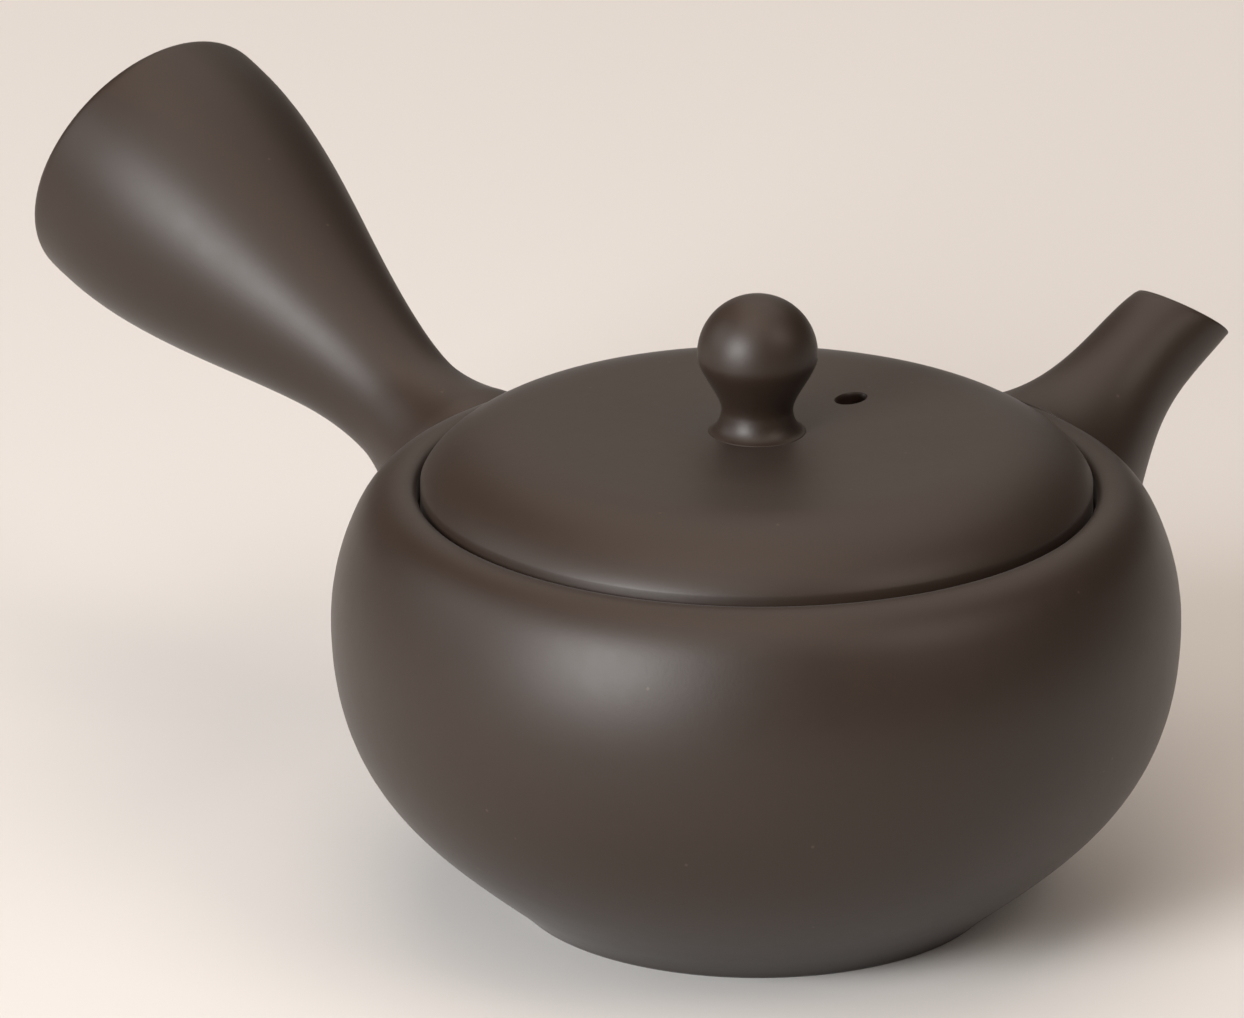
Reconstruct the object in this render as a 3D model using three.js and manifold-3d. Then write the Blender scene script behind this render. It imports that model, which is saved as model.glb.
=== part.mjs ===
// A side-handled teapot for green tea, thrown in dark unglazed clay.
// A squat bowl carries a short spout and, a little under a quarter turn from it, a hollow flared handle.
// A pierced clay dome inside the bowl keeps the leaves back from the spout. A drop-in lid with a ball knob
// rests on a ledge inside the mouth.
// Millimetres, +Z up. The origin is the centre of the foot, on the table. The spout points along +X.
import * as THREE from "three";
import { mergeVertices } from "three/addons/utils/BufferGeometryUtils.js";
import Module from "manifold-3d";

const wasm = await Module();
wasm.setup();

// Bowl
const BELLY_RADIUS = 54.55;
const BELLY_HEIGHT = 37.4;
const BELLY_DROP = 17.4;
const UNDER_TURN = [46.5, 13];
const UPPER_CURVE = 40;
const WALL = 3.6;
const FLOOR_THICKNESS = 4.4;
const FLOOR_ROUND = 8.5;

// Foot
const FOOT_RADIUS = 31.3;
const FOOT_EDGE_ROUND = 0.3;
const FOOT_HEIGHT = 4.3;
const FOOT_FLARE = 4.7;

// Mouth, with the ledge that carries the lid
const MOUTH_RADIUS = 43.95;
const MOUTH_HEIGHT = 55.4;
const LIP_WIDTH = 1.5;
const LIP_ROUND = 1;
const SHOULDER_HEIGHT = 50.3;
const LEDGE_HEIGHT = 51.6;
const LEDGE_WIDTH = 5.4;
const LEDGE_THICKNESS = 2.4;
const LEDGE_ROOT = 7;

// Lid
const LID_CLEARANCE = 0.6;
const LID_SEAT_GAP = 0.3;
const LID_EDGE_STEP = 0.5;
const LID_RISE = 7.5;
const LID_CROWN = 0.35;
const LID_SHOULDER_ROUND = 17;
const LID_THICKNESS = 3.2;
const SKIRT_CLEARANCE = 0.8;
const SKIRT_WALL = 2.6;
const SKIRT_DEPTH = 6;
const STEAM_HOLE_RADIUS = 2;
const STEAM_HOLE_OUT = 17.9;

// Knob on the lid
const KNOB_BALL_RADIUS = 7.75;
const KNOB_BALL_HEIGHT = 9.4;
const KNOB_WAIST_RADIUS = 4.7;
const KNOB_WAIST_HEIGHT = 2.5;
const KNOB_BASE_RADIUS = 8.4;
const KNOB_BASE_EDGE = 0.3;
const KNOB_NECK_ANGLE = -0.62;

// Handle. Its lengths run along its own axis, from the belly's radius outwards.
const HANDLE_TURN = 87.2;
const HANDLE_TILT = 20.3;
const HANDLE_AXIS_DROP = 14.9;
const HANDLE_LENGTH = 76.65;
const HANDLE_END_RADIUS = 19.1;
const HANDLE_NECK_REACH = 20.45;
const HANDLE_NECK_RADIUS = 7.65;
const HANDLE_ROOT_DEPTH = 0.55;
const HANDLE_ROOT_RADIUS = 15.5;
const HANDLE_ROOT_CREST = 0.55;
const HANDLE_WALL = 3.1;

// Spout. The points of its bent axis are given outwards from the belly's radius, and upwards from the
// belly's widest line at the root and from the mouth elsewhere.
const SPOUT_ROOT = [-11.55, -1.1];
const SPOUT_BEND = [12.75, -3.4];
const SPOUT_TIP = [23.35, 5];
const SPOUT_ROOT_RADIUS = 16;
const SPOUT_THROAT_RADIUS = 6.35;
const SPOUT_THROAT_BACK = 5.5;
const SPOUT_TIP_RADIUS = 6.7;
const SPOUT_TIP_WALL = 1.7;
const SPOUT_MOUTH_LEAN = 9;

// Passage through the spout and the bowl's wall, given in the same way
const PASSAGE_ROOT = [-10.55, -5];
const PASSAGE_BEND = [7.45, -8.4];
const PASSAGE_ROOT_RADIUS = 6.2;

// Strainer
const STRAINER_REACH = 10.5;
const STRAINER_BULGE = 6;
const STRAINER_WALL = 1.8;
const STRAINER_HOLE_RADIUS = 0.6;
const STRAINER_PITCH = 2.1;
const STRAINER_RINGS = 4;

// The thin layer between two pieces that are joined before firing
const JOINT_GAP = 0.3;

const BOWL_SIDES = 48;
const TUBE_SIDES = 24;
const KNOB_SIDES = 24;
const DOME_SIDES = 16;

const LEDGE_RADIUS = MOUTH_RADIUS - LEDGE_WIDTH;
const LID_RADIUS = MOUTH_RADIUS - LID_CLEARANCE;
const LID_TOP = MOUTH_HEIGHT + LID_EDGE_STEP + LID_RISE;
const HANDLE_ROOT = BELLY_RADIUS - HANDLE_ROOT_DEPTH;
const HANDLE_NECK = BELLY_RADIUS + HANDLE_NECK_REACH;
const HANDLE_END = BELLY_RADIUS + HANDLE_LENGTH;

const point = (x, y) => new THREE.Vector2(x, y);
const line = (...pairs) => pairs.map(([x, y]) => point(x, y));
const bend = (from, by, to, steps) =>
  new THREE.QuadraticBezierCurve(point(...from), point(...by), point(...to)).getPoints(steps);
const sweep = (from, by, near, to, steps) =>
  new THREE.CubicBezierCurve(point(...from), point(...by), point(...near), point(...to)).getPoints(steps);
const arc = (cx, cy, rx, ry, from, to, steps) =>
  new THREE.EllipseCurve(cx, cy, rx, ry, from, to, to < from).getPoints(steps);

// A turned form. The outline holds (radius, height) points and runs anticlockwise.
function turned(outline, sides) {
  const kept = outline.filter((p, i) => i === 0 || p.distanceTo(outline[i - 1]) > 1e-4);
  const open = kept[0].x > 1e-6 || kept[kept.length - 1].x > 1e-6;
  const closed = open ? [...kept, kept[0].clone()] : kept;
  return new THREE.LatheGeometry(closed, sides).rotateX(Math.PI / 2);
}

// A geometry as a solid that can be cut and joined.
function solid(geometry) {
  geometry.deleteAttribute("normal");
  geometry.deleteAttribute("uv");
  const merged = mergeVertices(geometry, 1e-4);
  return new wasm.Manifold(
    new wasm.Mesh({
      numProp: 3,
      vertProperties: new Float32Array(merged.attributes.position.array),
      triVerts: new Uint32Array(merged.index.array),
    }),
  );
}

// The underside of the belly, from its widest line down to the foot, moved out by the given amount.
const underBelly = (out, steps) =>
  sweep(
    [BELLY_RADIUS + out, BELLY_HEIGHT],
    [BELLY_RADIUS + out, BELLY_HEIGHT - BELLY_DROP - out * 0.4],
    [UNDER_TURN[0] + out * 0.75, UNDER_TURN[1] - out * 0.66],
    [FOOT_RADIUS + FOOT_FLARE + out * 0.64, FOOT_HEIGHT - out * 0.77],
    steps,
  );

// The bowl's outer face from the foot up to the mouth, moved out by the given amount.
function bowlOutside(out) {
  const wide = BELLY_RADIUS + out;
  const high = UPPER_CURVE + out;
  const shoulderAngle = Math.asin((SHOULDER_HEIGHT - BELLY_HEIGHT) / high);
  const shoulder = wide * Math.cos(shoulderAngle);
  const rise = (MOUTH_HEIGHT + out - SHOULDER_HEIGHT) * 0.9;
  const slope = (wide * Math.sin(shoulderAngle)) / (high * Math.cos(shoulderAngle));
  const foot = FOOT_RADIUS + out;
  const flare = [foot + FOOT_FLARE * 0.2, FOOT_HEIGHT * 0.3];
  const under = underBelly(out, 11).reverse();
  const lip = [MOUTH_RADIUS + LIP_WIDTH, MOUTH_HEIGHT + out];
  return [
    ...line([foot - FOOT_EDGE_ROUND, -out], [foot, FOOT_EDGE_ROUND - out]),
    ...bend([foot, FOOT_EDGE_ROUND], flare, [under[0].x, under[0].y], 3),
    ...under,
    ...arc(0, BELLY_HEIGHT, wide, high, 0, shoulderAngle, 3),
    ...bend([shoulder, SHOULDER_HEIGHT], [shoulder - rise * slope, SHOULDER_HEIGHT + rise], lip, 5),
  ];
}

// The bowl's inner face from the ledge down to the floor, moved in by the given amount.
function bowlInside(inset) {
  const wide = BELLY_RADIUS - WALL - inset;
  const high = UPPER_CURVE - WALL - inset;
  const floor = FLOOR_THICKNESS + inset;
  const topHeight = LEDGE_HEIGHT - LEDGE_THICKNESS - inset;
  const rootAngle = Math.asin((topHeight - LEDGE_ROOT * 0.6 - BELLY_HEIGHT) / high);
  const root = [wide * Math.cos(rootAngle), BELLY_HEIGHT + high * Math.sin(rootAngle)];
  const under = underBelly(-WALL - inset, 7);
  const corner = under[under.length - 1];
  return [
    ...bend([LEDGE_RADIUS + LEDGE_THICKNESS / 2, topHeight], [root[0] - 2, topHeight - 0.8], root, 3),
    ...arc(0, BELLY_HEIGHT, wide, high, rootAngle, 0, 2),
    ...under,
    ...bend([corner.x, corner.y], [corner.x - FLOOR_ROUND * 0.4, floor], [corner.x - FLOOR_ROUND, floor], 3),
    point(0, floor),
  ];
}

// The whole wall of the bowl, with the rounded lip and the ledge inside the mouth.
function bowlOutline() {
  const lipTop = [MOUTH_RADIUS + LIP_WIDTH, MOUTH_HEIGHT];
  const nose = LEDGE_THICKNESS / 2;
  return [
    point(0, 0),
    ...bowlOutside(0),
    ...bend(lipTop, [MOUTH_RADIUS, MOUTH_HEIGHT], [MOUTH_RADIUS, MOUTH_HEIGHT - LIP_ROUND], 3),
    point(MOUTH_RADIUS, LEDGE_HEIGHT),
    ...arc(LEDGE_RADIUS + nose, LEDGE_HEIGHT - nose, nose, nose, Math.PI / 2, (Math.PI * 3) / 2, 3),
    ...bowlInside(0),
  ];
}

// Carries a form turned about +Z onto a curve, so that its height runs along the curve.
function along(geometry, curve, lean) {
  const length = curve.getLength();
  const at = geometry.getAttribute("position");
  const spot = new THREE.Vector3();
  for (let i = 0; i < at.count; i++) {
    spot.fromBufferAttribute(at, i);
    const share = THREE.MathUtils.clamp(spot.z / length, 0, 1);
    const centre = curve.getPointAt(share);
    const heading = curve.getTangentAt(share);
    const rise = Math.atan2(heading.z, heading.x) + THREE.MathUtils.degToRad(lean) * share ** 4;
    const beyond = spot.z - share * length;
    const up = [-Math.sin(rise), Math.cos(rise)];
    const ahead = [Math.cos(rise), Math.sin(rise)];
    at.setXYZ(
      i,
      centre.x + up[0] * spot.x + ahead[0] * beyond,
      spot.y * -1,
      centre.z + up[1] * spot.x + ahead[1] * beyond,
    );
  }
  return geometry;
}

// A bent axis from its root at the belly, by a bend, to its tip above the mouth.
function bentAxis(root, by, tip) {
  const placed = (out, height) => new THREE.Vector3(BELLY_RADIUS + out, 0, height);
  return new THREE.QuadraticBezierCurve3(
    placed(root[0], BELLY_HEIGHT + root[1]),
    placed(by[0], MOUTH_HEIGHT + by[1]),
    placed(tip[0], MOUTH_HEIGHT + tip[1]),
  );
}

// The space that the bowl fills, with the joint's gap round it
const envelope = solid(
  turned([point(0, -JOINT_GAP), ...bowlOutside(JOINT_GAP), point(0, MOUTH_HEIGHT + JOINT_GAP)], BOWL_SIDES),
);

// Passage for the tea, from inside the bowl to the spout's mouth
const passageCurve = bentAxis(PASSAGE_ROOT, PASSAGE_BEND, SPOUT_TIP);
const passageLength = passageCurve.getLength();
const throatInside = SPOUT_THROAT_RADIUS - SPOUT_TIP_WALL;
const mouthInside = SPOUT_TIP_RADIUS - SPOUT_TIP_WALL;
const passage = solid(
  along(
    turned(
      [
        point(0, 0),
        point(PASSAGE_ROOT_RADIUS, 0),
        ...sweep(
          [PASSAGE_ROOT_RADIUS, 8],
          [PASSAGE_ROOT_RADIUS, passageLength * 0.5],
          [throatInside, passageLength * 0.6],
          [throatInside, passageLength - SPOUT_THROAT_BACK],
          5,
        ),
        point(mouthInside, passageLength),
        point(mouthInside + 0.4, passageLength + 2),
        point(0, passageLength + 2),
      ],
      TUBE_SIDES,
    ),
    passageCurve,
    SPOUT_MOUTH_LEAN,
  ),
);

const bowl = solid(turned(bowlOutline(), BOWL_SIDES)).subtract(passage);

// Spout
const spoutCurve = bentAxis(SPOUT_ROOT, SPOUT_BEND, SPOUT_TIP);
const spoutLength = spoutCurve.getLength();
const tipNose = SPOUT_TIP_WALL / 2;
const spoutForm = solid(
  along(
    turned(
      [
        point(0, 0),
        ...sweep(
          [SPOUT_ROOT_RADIUS, 0],
          [SPOUT_ROOT_RADIUS * 0.75, spoutLength * 0.3],
          [SPOUT_THROAT_RADIUS, spoutLength * 0.6],
          [SPOUT_THROAT_RADIUS, spoutLength - SPOUT_THROAT_BACK],
          9,
        ),
        ...bend(
          [SPOUT_THROAT_RADIUS, spoutLength - SPOUT_THROAT_BACK],
          [SPOUT_THROAT_RADIUS, spoutLength - SPOUT_THROAT_BACK / 2],
          [SPOUT_TIP_RADIUS, spoutLength - tipNose],
          3,
        ),
        ...arc(SPOUT_TIP_RADIUS - tipNose, spoutLength - tipNose, tipNose, tipNose, 0, Math.PI / 2, 2),
        point(0, spoutLength),
      ],
      TUBE_SIDES,
    ),
    spoutCurve,
    SPOUT_MOUTH_LEAN,
  ),
);
const spout = spoutForm.subtract(passage).subtract(envelope);

// Handle. Its root spreads over the bowl, but less on the upper side, where the mouth is near.
function easedRoot(geometry) {
  const at = geometry.getAttribute("position");
  const spot = new THREE.Vector3();
  for (let i = 0; i < at.count; i++) {
    spot.fromBufferAttribute(at, i);
    const wide = Math.hypot(spot.x, spot.y);
    const spread = wide - HANDLE_NECK_RADIUS;
    if (spot.z < HANDLE_NECK && spread > 0) {
      const upward = Math.max(0, -spot.x / wide);
      const eased = (HANDLE_NECK_RADIUS + spread * (1 - HANDLE_ROOT_CREST * upward)) / wide;
      at.setXY(i, spot.x * eased, spot.y * eased);
    }
  }
  return geometry;
}

const hollow = HANDLE_END_RADIUS - HANDLE_WALL;
const neckHollow = HANDLE_NECK_RADIUS - HANDLE_WALL;
const rimCrest = [HANDLE_END_RADIUS - HANDLE_WALL * 0.6, HANDLE_END];
const handleOutline = [
  ...sweep(
    [HANDLE_ROOT_RADIUS, HANDLE_ROOT],
    [HANDLE_ROOT_RADIUS * 0.67, HANDLE_ROOT + 6],
    [HANDLE_NECK_RADIUS, HANDLE_NECK - 8],
    [HANDLE_NECK_RADIUS, HANDLE_NECK],
    6,
  ),
  ...sweep(
    [HANDLE_NECK_RADIUS, HANDLE_NECK],
    [HANDLE_NECK_RADIUS, HANDLE_NECK + 11],
    [HANDLE_END_RADIUS, HANDLE_END - 21],
    [HANDLE_END_RADIUS, HANDLE_END - 5],
    8,
  ),
  ...bend([HANDLE_END_RADIUS, HANDLE_END - 5], [HANDLE_END_RADIUS, HANDLE_END], rimCrest, 4),
  ...bend(rimCrest, [hollow, HANDLE_END], [hollow, HANDLE_END - 3], 3),
  ...sweep(
    [hollow, HANDLE_END - 5],
    [hollow, HANDLE_END - 21],
    [neckHollow, HANDLE_NECK + 11],
    [neckHollow, HANDLE_NECK],
    7,
  ),
  point(neckHollow, HANDLE_ROOT),
];
const handleForm = solid(
  easedRoot(turned(handleOutline, TUBE_SIDES))
    .rotateY(THREE.MathUtils.degToRad(90 - HANDLE_TILT))
    .rotateZ(THREE.MathUtils.degToRad(HANDLE_TURN))
    .translate(0, 0, BELLY_HEIGHT - HANDLE_AXIS_DROP),
);
const handle = handleForm.subtract(envelope);

// Strainer: a pierced dome over the passage, against the bowl's inner wall
const passageShare = (PASSAGE_ROOT[0] + WALL) / (PASSAGE_ROOT[0] - SPOUT_TIP[0]);
const inlet = passageCurve.getPointAt(passageShare);
const domeRadius = (STRAINER_REACH ** 2 + STRAINER_BULGE ** 2) / (2 * STRAINER_BULGE);
const domeCentre = [inlet.x - STRAINER_BULGE + domeRadius, inlet.z];
const dome = (radius) =>
  solid(
    new THREE.SphereGeometry(radius, DOME_SIDES, DOME_SIDES)
      .rotateZ(Math.PI / 2)
      .translate(domeCentre[0], 0, domeCentre[1]),
  );
const interiorTop = point(0, LEDGE_HEIGHT - LEDGE_THICKNESS - JOINT_GAP);
const interior = solid(turned([...bowlInside(JOINT_GAP), interiorTop].reverse(), BOWL_SIDES));
const pins = [];
for (let ring = 0; ring <= STRAINER_RINGS; ring++) {
  const count = ring === 0 ? 1 : ring * 6;
  for (let i = 0; i < count; i++) {
    const pin = new THREE.CylinderGeometry(STRAINER_HOLE_RADIUS, STRAINER_HOLE_RADIUS, domeRadius, 5)
      .translate(0, domeRadius / 2 + 3, 0)
      .rotateZ((ring * STRAINER_PITCH) / domeRadius)
      .rotateY((i / count) * Math.PI * 2 + ring * 0.2)
      .rotateZ(Math.PI / 2)
      .translate(domeCentre[0], 0, domeCentre[1]);
    pins.push(solid(pin));
  }
}
const strainer = dome(domeRadius)
  .subtract(dome(domeRadius - STRAINER_WALL))
  .intersect(interior)
  .subtract(wasm.Manifold.union(pins));

// Lid
const arcDrop = LID_SHOULDER_ROUND - LID_RISE + LID_CROWN;
const arcOut = Math.sqrt(LID_SHOULDER_ROUND ** 2 - arcDrop ** 2);
const arcCentre = [LID_RADIUS - arcOut, LID_TOP - LID_CROWN - LID_SHOULDER_ROUND];
const rimAngle = Math.acos(arcOut / LID_SHOULDER_ROUND);
const skirtRadius = LEDGE_RADIUS - SKIRT_CLEARANCE;
const skirtInside = skirtRadius - SKIRT_WALL;
const seat = LEDGE_HEIGHT + LID_SEAT_GAP;
const roof = LID_TOP - LID_THICKNESS;
const roofRound = LID_SHOULDER_ROUND - LID_THICKNESS;
const roofAngle = Math.acos(Math.min(1, (skirtInside - arcCentre[0]) / roofRound));
const lidOutline = [
  point(0, roof),
  ...bend([0, roof], [arcCentre[0] * 0.6, roof], [arcCentre[0], arcCentre[1] + roofRound], 3),
  ...arc(...arcCentre, roofRound, roofRound, Math.PI / 2, roofAngle, 3),
  point(skirtInside, seat - SKIRT_DEPTH + 0.6),
  point(skirtInside + 0.6, seat - SKIRT_DEPTH),
  point(skirtRadius - 0.6, seat - SKIRT_DEPTH),
  point(skirtRadius, seat - SKIRT_DEPTH + 0.6),
  point(skirtRadius, seat),
  point(LID_RADIUS - 0.5, seat),
  point(LID_RADIUS, seat + 0.5),
  ...arc(...arcCentre, LID_SHOULDER_ROUND, LID_SHOULDER_ROUND, rimAngle, Math.PI / 2, 8),
  ...bend([arcCentre[0], LID_TOP - LID_CROWN], [arcCentre[0] * 0.6, LID_TOP], [0, LID_TOP], 3),
];
const steamHole = new THREE.CylinderGeometry(STEAM_HOLE_RADIUS, STEAM_HOLE_RADIUS, LID_THICKNESS * 4, 20)
  .rotateX(Math.PI / 2)
  .translate(STEAM_HOLE_OUT, 0, LID_TOP);
const lid = solid(turned(lidOutline, BOWL_SIDES)).subtract(solid(steamHole));

// Knob
const knobFoot = LID_TOP + JOINT_GAP;
const ballHeight = knobFoot + KNOB_BALL_HEIGHT;
const waist = knobFoot + KNOB_WAIST_HEIGHT;
const baseEdge = [KNOB_BASE_RADIUS, knobFoot + KNOB_BASE_EDGE];
const neckTop = [
  KNOB_BALL_RADIUS * Math.cos(KNOB_NECK_ANGLE),
  ballHeight + KNOB_BALL_RADIUS * Math.sin(KNOB_NECK_ANGLE),
];
const knob = solid(
  turned(
    [
      point(0, knobFoot),
      point(KNOB_BASE_RADIUS, knobFoot),
      ...bend(baseEdge, [KNOB_WAIST_RADIUS, knobFoot + KNOB_BASE_EDGE], [KNOB_WAIST_RADIUS, waist], 4),
      ...bend([KNOB_WAIST_RADIUS, waist], [KNOB_WAIST_RADIUS, waist + 1.2], neckTop, 3),
      ...arc(0, ballHeight, KNOB_BALL_RADIUS, KNOB_BALL_RADIUS, KNOB_NECK_ANGLE, Math.PI / 2, 10),
    ],
    KNOB_SIDES,
  ),
);

const kyusu = new THREE.Group();
kyusu.name = "kyusu";

function place(name, made, color, roughness, holder) {
  const mesh = made.getMesh();
  const geometry = new THREE.BufferGeometry()
    .setAttribute("position", new THREE.BufferAttribute(new Float32Array(mesh.vertProperties), 3))
    .setIndex(new THREE.BufferAttribute(new Uint32Array(mesh.triVerts), 1));
  geometry.computeVertexNormals();
  const piece = new THREE.Mesh(geometry, new THREE.MeshStandardMaterial({ color, roughness, metalness: 0 }));
  piece.name = name;
  holder.add(piece);
  console.log(name, "volume", made.volume().toFixed(1), "mm3,", mesh.triVerts.length / 3, "triangles");
  return piece;
}

const pot = new THREE.Group();
pot.name = "pot";
const cover = new THREE.Group();
cover.name = "cover";
kyusu.add(pot, cover);
place("bowl", bowl, 0x2b2522, 0.42, pot);
place("spout", spout, 0x2b2522, 0.42, pot);
place("handle", handle, 0x2b2522, 0.42, pot);
place("strainer", strainer, 0x2e2724, 0.6, pot);
place("lid", lid, 0x2b2522, 0.42, cover);
place("lid_knob", knob, 0x2b2522, 0.4, cover);

export default kyusu;
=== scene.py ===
# %% [markdown]
# # A side-handled teapot in dark unglazed clay
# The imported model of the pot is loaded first. It is a fixed frame in metres: the foot stands at the
# origin, the spout points along +X, and every node rides on one of two bodies, the pot and its lid.
# Each clay form is then thrown again in Blender with finer curves, and stands for the node that it
# replaces.

import math

import bpy
from mathutils import Matrix, Quaternion, Vector


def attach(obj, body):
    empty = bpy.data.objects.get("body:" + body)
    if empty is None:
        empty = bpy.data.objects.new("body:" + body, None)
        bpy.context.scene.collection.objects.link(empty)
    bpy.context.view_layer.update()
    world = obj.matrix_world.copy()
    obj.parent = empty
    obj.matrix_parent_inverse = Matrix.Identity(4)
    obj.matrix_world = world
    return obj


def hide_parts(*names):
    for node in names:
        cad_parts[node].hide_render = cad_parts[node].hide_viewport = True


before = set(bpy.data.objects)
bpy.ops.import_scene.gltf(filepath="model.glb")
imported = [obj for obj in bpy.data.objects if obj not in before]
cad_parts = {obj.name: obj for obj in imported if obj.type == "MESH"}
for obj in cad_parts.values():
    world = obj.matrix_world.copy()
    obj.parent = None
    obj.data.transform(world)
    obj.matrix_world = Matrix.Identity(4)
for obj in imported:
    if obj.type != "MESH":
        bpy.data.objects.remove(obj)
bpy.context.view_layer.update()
MM = 0.001
print("nodes:", sorted(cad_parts))

# %% [markdown]
# The photograph was taken through a long lens, about 22 degrees above the table. A long lens shows
# the pot with almost no perspective, so a high focal length and a distance of 1.6 m give the same
# look. The camera first looks straight at the centre of the foot and is then turned by the small
# angle that puts the foot where the picture has it.

# %% Camera
PHOTO_WIDTH = 1244
PHOTO_HEIGHT = 1018
FOCAL_PIXELS = 12360
CAMERA_DISTANCE = 1.6
CAMERA_RISE = math.radians(21.97)
CAMERA_TURN = math.radians(-134.6)
CAMERA_ROLL = math.radians(0.342)
FOOT_PIXEL = (754.4, 886.9)
SENSOR_WIDTH = 36
CLIP_END = 20

camera_data = bpy.data.cameras.new("camera")
camera_data.sensor_width = SENSOR_WIDTH
camera_data.lens = SENSOR_WIDTH * FOCAL_PIXELS / PHOTO_WIDTH
camera_data.clip_end = CLIP_END
camera = bpy.data.objects.new("camera", camera_data)
bpy.context.collection.objects.link(camera)
back = Vector((
    math.cos(CAMERA_RISE) * math.cos(CAMERA_TURN),
    math.cos(CAMERA_RISE) * math.sin(CAMERA_TURN),
    math.sin(CAMERA_RISE),
))
foot_ray = Vector((
    (FOOT_PIXEL[0] - PHOTO_WIDTH / 2) / FOCAL_PIXELS,
    (PHOTO_HEIGHT / 2 - FOOT_PIXEL[1]) / FOCAL_PIXELS,
    -1,
)).normalized()
look = (-back).to_track_quat("-Z", "Y")
roll = Quaternion((0, 0, 1), CAMERA_ROLL)
camera.location = back * CAMERA_DISTANCE
camera.rotation_mode = "QUATERNION"
camera.rotation_quaternion = look @ roll @ foot_ray.rotation_difference(Vector((0, 0, -1)))
bpy.context.scene.camera = camera
print("lens", round(camera_data.lens, 1), "mm")

# %% [markdown]
# The studio is one pale sheet that reaches past the picture on every side, and a light tent over
# it. One small soft box at the front left makes the sheen. Five wide, weak ones stand for the
# tent's walls and roof: they fill the shaded side and leave a soft rim along the silhouette. Light
# that comes off a tent's cloth is a little warm. Directions are given as the camera sees them:
# right, away and up.

# %% Floor and lamps
RIGHT = Vector((-math.sin(CAMERA_TURN), math.cos(CAMERA_TURN), 0))
AWAY = Vector((-math.cos(CAMERA_TURN), -math.sin(CAMERA_TURN), 0))
WHITE = (1, 1, 1)
WARM = (1, 0.87, 0.77)
AIM = Vector((0, 0, 0.04))
SHEET_SIZE = 12
TENT_DISTANCE = 3.2


def clear_selection():
    if bpy.context.mode != "OBJECT":
        bpy.ops.object.mode_set(mode="OBJECT")
    bpy.ops.object.select_all(action="DESELECT")


def soft_box(name, direction, distance, side, power, colour):
    lamp_data = bpy.data.lights.new(name, "AREA")
    lamp_data.size = side
    lamp_data.energy = power
    lamp_data.color = colour
    lamp = bpy.data.objects.new(name, lamp_data)
    bpy.context.collection.objects.link(lamp)
    level = RIGHT * direction[0] + AWAY * direction[1]
    towards = (level + Vector((0, 0, direction[2]))).normalized()
    lamp.location = towards * distance + AIM
    lamp.rotation_mode = "QUATERNION"
    lamp.rotation_quaternion = (-towards).to_track_quat("-Z", "Y")


clear_selection()
bpy.ops.mesh.primitive_plane_add(size=SHEET_SIZE, location=(0, 0, 0))
floor = bpy.context.object
floor.name = "floor"
soft_box("key", (-0.62, -0.70, 0.38), 1.4, 0.62, 24.5, WHITE)
soft_box("left", (-0.90, 0.08, 0.42), TENT_DISTANCE, 1.8, 18.0, WHITE)
soft_box("top", (0.05, 0.35, 1.0), TENT_DISTANCE, 3.2, 44.0, WARM)
soft_box("front", (-0.20, -0.40, 1.0), TENT_DISTANCE, 2.4, 32.0, WARM)
soft_box("right", (0.80, -0.50, 0.90), TENT_DISTANCE, 1.6, 26.0, WARM)
soft_box("back", (0.0, 0.87, 0.50), TENT_DISTANCE, 2.3, 8.0, WARM)

# %% [markdown]
# Shader maths reads best as plain sums. This small class wraps a node's output, so that plus and
# times add Math nodes. A second class holds one material, and its add method adds any other node
# and sets its sockets.

# %% A small shader language


class Value:
    def __init__(self, tree, socket):
        self.tree = tree
        self.socket = socket

    def _math(self, operation, first, second):
        node = self.tree.nodes.new("ShaderNodeMath")
        node.operation = operation
        for slot, item in enumerate((first, second)):
            if isinstance(item, Value):
                self.tree.links.new(item.socket, node.inputs[slot])
            else:
                node.inputs[slot].default_value = item
        return Value(self.tree, node.outputs[0])

    def __add__(self, other):
        return self._math("ADD", self, other)

    def __mul__(self, other):
        return self._math("MULTIPLY", self, other)


class Finish:
    def __init__(self, name):
        self.material = bpy.data.materials.new(name)
        self.material.use_nodes = True
        self.tree = self.material.node_tree
        self.shader = next(n for n in self.tree.nodes if n.type == "BSDF_PRINCIPLED")

    def join(self, item, socket):
        if isinstance(item, Value):
            item = item.socket
        if isinstance(item, bpy.types.NodeSocket):
            self.tree.links.new(item, socket)
        else:
            socket.default_value = item

    def add(self, kind, stops=(), output=0, **values):
        node = self.tree.nodes.new(kind)
        for index, (place, level) in enumerate(stops):
            element = node.color_ramp.elements[index]
            element.position = place
            element.color = (level, level, level, 1)
        for key, item in values.items():
            self.join(item, node.inputs[key.replace("_", " ")])
        return Value(self.tree, node.outputs[output])

    def mix(self, share, first, second):
        node = self.tree.nodes.new("ShaderNodeMix")
        node.data_type = "RGBA"
        for slot, item in ((0, share), (6, first), (7, second)):
            self.join(item, node.inputs[slot])
        return Value(self.tree, node.outputs[2])

    def set(self, **values):
        for key, item in values.items():
            self.join(item, self.shader.inputs[key.replace("_", " ")])


print("shader signs ready")

# %% [markdown]
# The pot is one clay all through, fired almost black and rubbed with a smooth stone while it was
# leather hard. Rubbing lays the clay flat, so the outside has a satin sheen. Three things keep it
# from looking like plastic: faint clouds where the kiln's smoke took more or less, a very fine
# grain in the sheen, and a few tiny pale specks of grit. A slight sheen lights the outline, as the
# dry skin of clay does. Where no stone reached, inside the bowl and the handle, the same clay stays
# dull.

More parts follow.
